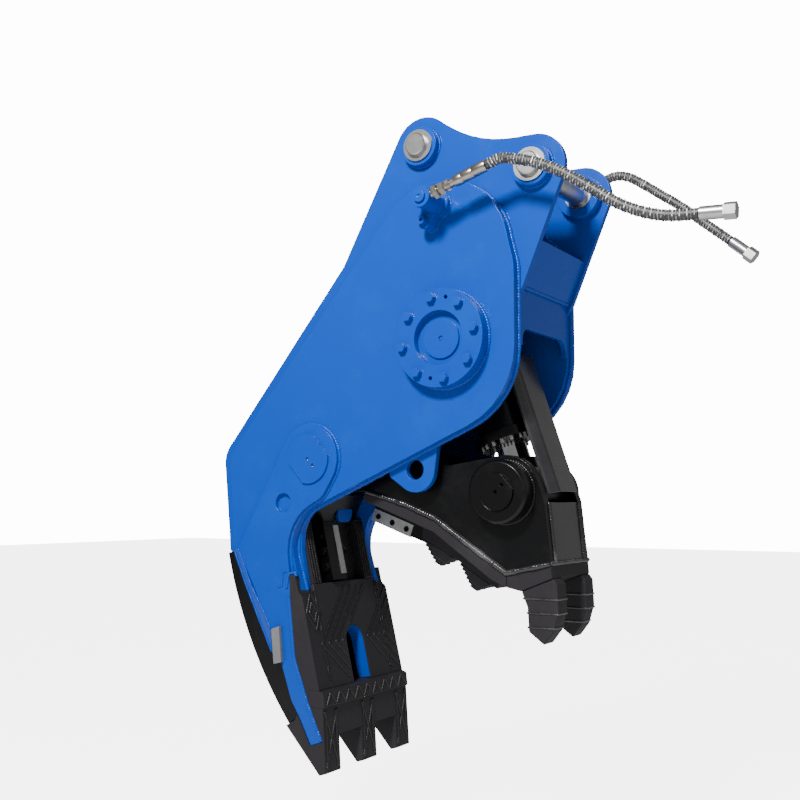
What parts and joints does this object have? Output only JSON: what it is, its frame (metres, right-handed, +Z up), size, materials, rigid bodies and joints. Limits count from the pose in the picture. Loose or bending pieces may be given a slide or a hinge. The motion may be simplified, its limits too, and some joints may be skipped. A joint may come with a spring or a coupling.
{
  "type": "concrete pulverizer",
  "caption": "Blue welded concrete pulverizer for an excavator arm, its jaw open: fixed toothed jaw, moving jaw on a cross pin, trunnion cylinder, shear blades and hoses.",
  "frame": {"origin": "axis of the stick pin at mid width", "axes": "+Z up, as the tool hangs in the picture; +X from the fixed jaw's back to the moving jaw; +Y across the width, to the far side plate"},
  "size_m": [2.0602, 0.818, 2.3609],
  "materials": {
    "frame_paint": "gloss",
    "jaw_paint": "satin",
    "cast_wear_steel": "satin",
    "bright_steel": "satin",
    "bush_bronze": "satin",
    "rod_chrome": "polished",
    "hose_rubber": "satin"
  },
  "bodies": {
    "frame": {"side_plate_near": "frame_paint", "side_plate_far": "frame_paint", "outer_plate_near": "frame_paint", "outer_plate_far": "frame_paint", "pivot_doublers": "frame_paint", "ear_bosses": "frame_paint", "ear_bushes": "bright_steel", "trunnion_cap_near": "frame_paint", "trunnion_cap_far": "frame_paint", "trunnion_cap_bolts": "frame_paint", "trunnion_bushes": "bush_bronze", "screw_plugs": "frame_paint", "jaw_pivot_pin": "bright_steel", "pivot_pin_covers": "frame_paint", "lifting_lugs": "frame_paint", "back_plates": "frame_paint", "front_cover": "frame_paint", "ear_cross_plates": "frame_paint", "ear_gussets": "frame_paint", "hub_guard_plate": "jaw_paint", "throat_stop": "frame_paint", "throat_liner": "cast_wear_steel", "fixed_blade_holder": "jaw_paint", "fixed_blade": "bright_steel", "fixed_blade_bolts": "jaw_paint", "crushing_plate": "cast_wear_steel", "tooth_crossbar": "cast_wear_steel", "fixed_teeth": "cast_wear_steel", "dorsal_wear_plate": "jaw_paint", "dorsal_side_plates": "jaw_paint", "side_wear_bars": "jaw_paint", "port_blocks": "frame_paint", "port_clamp_screws": "frame_paint", "hose_fittings": "bright_steel", "hose_near": "hose_rubber", "hose_far": "hose_rubber", "hose_end_fittings": "bright_steel"},
    "jaw": {"jaw_cheek_near": "jaw_paint", "jaw_cheek_far": "jaw_paint", "jaw_hub": "jaw_paint", "jaw_hub_bushes": "bush_bronze", "jaw_wear_plate": "cast_wear_steel", "jaw_front_plate": "jaw_paint", "crusher_teeth": "cast_wear_steel", "nose_block": "cast_wear_steel", "front_teeth": "cast_wear_steel", "jaw_blade": "bright_steel", "jaw_blade_seat": "jaw_paint", "jaw_blade_screws": "jaw_paint", "rod_pin": "jaw_paint", "rod_pin_bosses": "jaw_paint"},
    "cylinder": {"barrel": "jaw_paint", "gland": "jaw_paint", "gland_screws": "bright_steel"},
    "rod": {"piston_rod": "rod_chrome", "piston": "bright_steel", "rod_eye": "jaw_paint", "rod_guard": "jaw_paint"},
    "stick_pin": {"stick_pin": "bright_steel"},
    "link_pin": {"link_pin": "bright_steel"}
  },
  "joints": [
    {"name": "jaw_close", "type": "hinge", "parent": "frame", "child": "jaw", "pos_m": [-0.8967, 0, -0.9702], "axis": [0, 1, 0], "range_deg": [0, 46]},
    {"name": "barrel_swing", "type": "hinge", "parent": "frame", "child": "cylinder", "pos_m": [-0.3255, 0, -0.5691], "axis": [0, 1, 0], "range_deg": [0, 26.7]},
    {"name": "rod_travel", "type": "slide", "parent": "cylinder", "child": "rod", "axis": [0.3208, 0, -0.9472], "range_m": [0, 0.4925]},
    {"name": "stick_pin_draw", "type": "slide", "parent": "frame", "child": "stick_pin", "axis": [0, 1, 0], "range_m": [0, 0.62]},
    {"name": "link_pin_draw", "type": "slide", "parent": "frame", "child": "link_pin", "axis": [0, 1, 0], "range_m": [0, 0.62]}
  ],
  "couplings": [
    {"joint": "barrel_swing", "follows": "jaw_close", "ratio": 0.58},
    {"joint": "rod_travel", "follows": "jaw_close", "m_per_rad": 0.6131}
  ]
}
